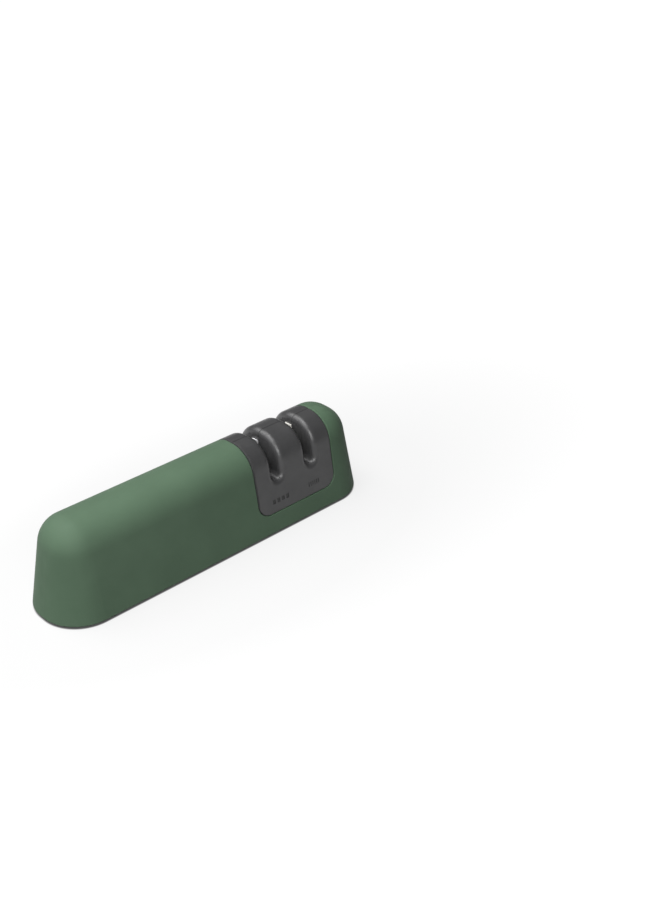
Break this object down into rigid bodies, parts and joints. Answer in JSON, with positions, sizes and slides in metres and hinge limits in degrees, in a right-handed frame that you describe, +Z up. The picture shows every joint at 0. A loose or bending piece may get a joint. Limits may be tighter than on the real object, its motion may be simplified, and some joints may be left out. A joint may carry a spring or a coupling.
{
  "type": "pull through knife sharpener",
  "caption": "Pull through knife sharpener: a long rounded casing with a flush saddle head, a coarse slot with crossed diamond coated rods and a fine slot with crossed ceramic rods.",
  "frame": {"origin": "on the table, under the middle of the casing", "axes": "+X along the casing towards the sharpening head, -Y to the front face with the stage marks, +Z up"},
  "size_m": [0.1598, 0.0374, 0.0399],
  "materials": {
    "casing_green": "fine matte, soft to the touch",
    "head_grey": "fine satin texture",
    "base_black": "moulded matte",
    "grip_rubber": "soft matte tread",
    "holder_grey": "moulded satin",
    "diamond_grey": "nickel plated, with a fine diamond grit",
    "ceramic_white": "fine unglazed",
    "screw_steel": "zinc plated"
  },
  "bodies": {
    "sharpener": {"body_shell": "casing_green", "base_plate": "base_black", "base_screws": "screw_steel", "grip_strip_front": "grip_rubber", "grip_strip_rear": "grip_rubber", "head_front_shell": "head_grey", "head_rear_shell": "head_grey", "head_fixing_screws": "screw_steel", "coarse_holder_front": "holder_grey", "coarse_holder_rear": "holder_grey", "coarse_holder_screws": "screw_steel", "diamond_rod_left": "diamond_grey", "diamond_rod_right": "diamond_grey", "fine_holder_front": "holder_grey", "fine_holder_rear": "holder_grey", "fine_holder_screws": "screw_steel"},
    "left_rod": {"ceramic_rod_left": "ceramic_white"},
    "right_rod": {"ceramic_rod_right": "ceramic_white"}
  },
  "joints": [
    {"name": "left_rod_spin", "type": "hinge", "parent": "sharpener", "child": "left_rod", "pos_m": [0.04805, -0.0023, 0.02615], "axis": [-0.342, 0, 0.9397], "continuous": true},
    {"name": "right_rod_spin", "type": "hinge", "parent": "sharpener", "child": "right_rod", "pos_m": [0.04805, 0.0023, 0.02615], "axis": [0.342, 0, 0.9397], "continuous": true}
  ]
}
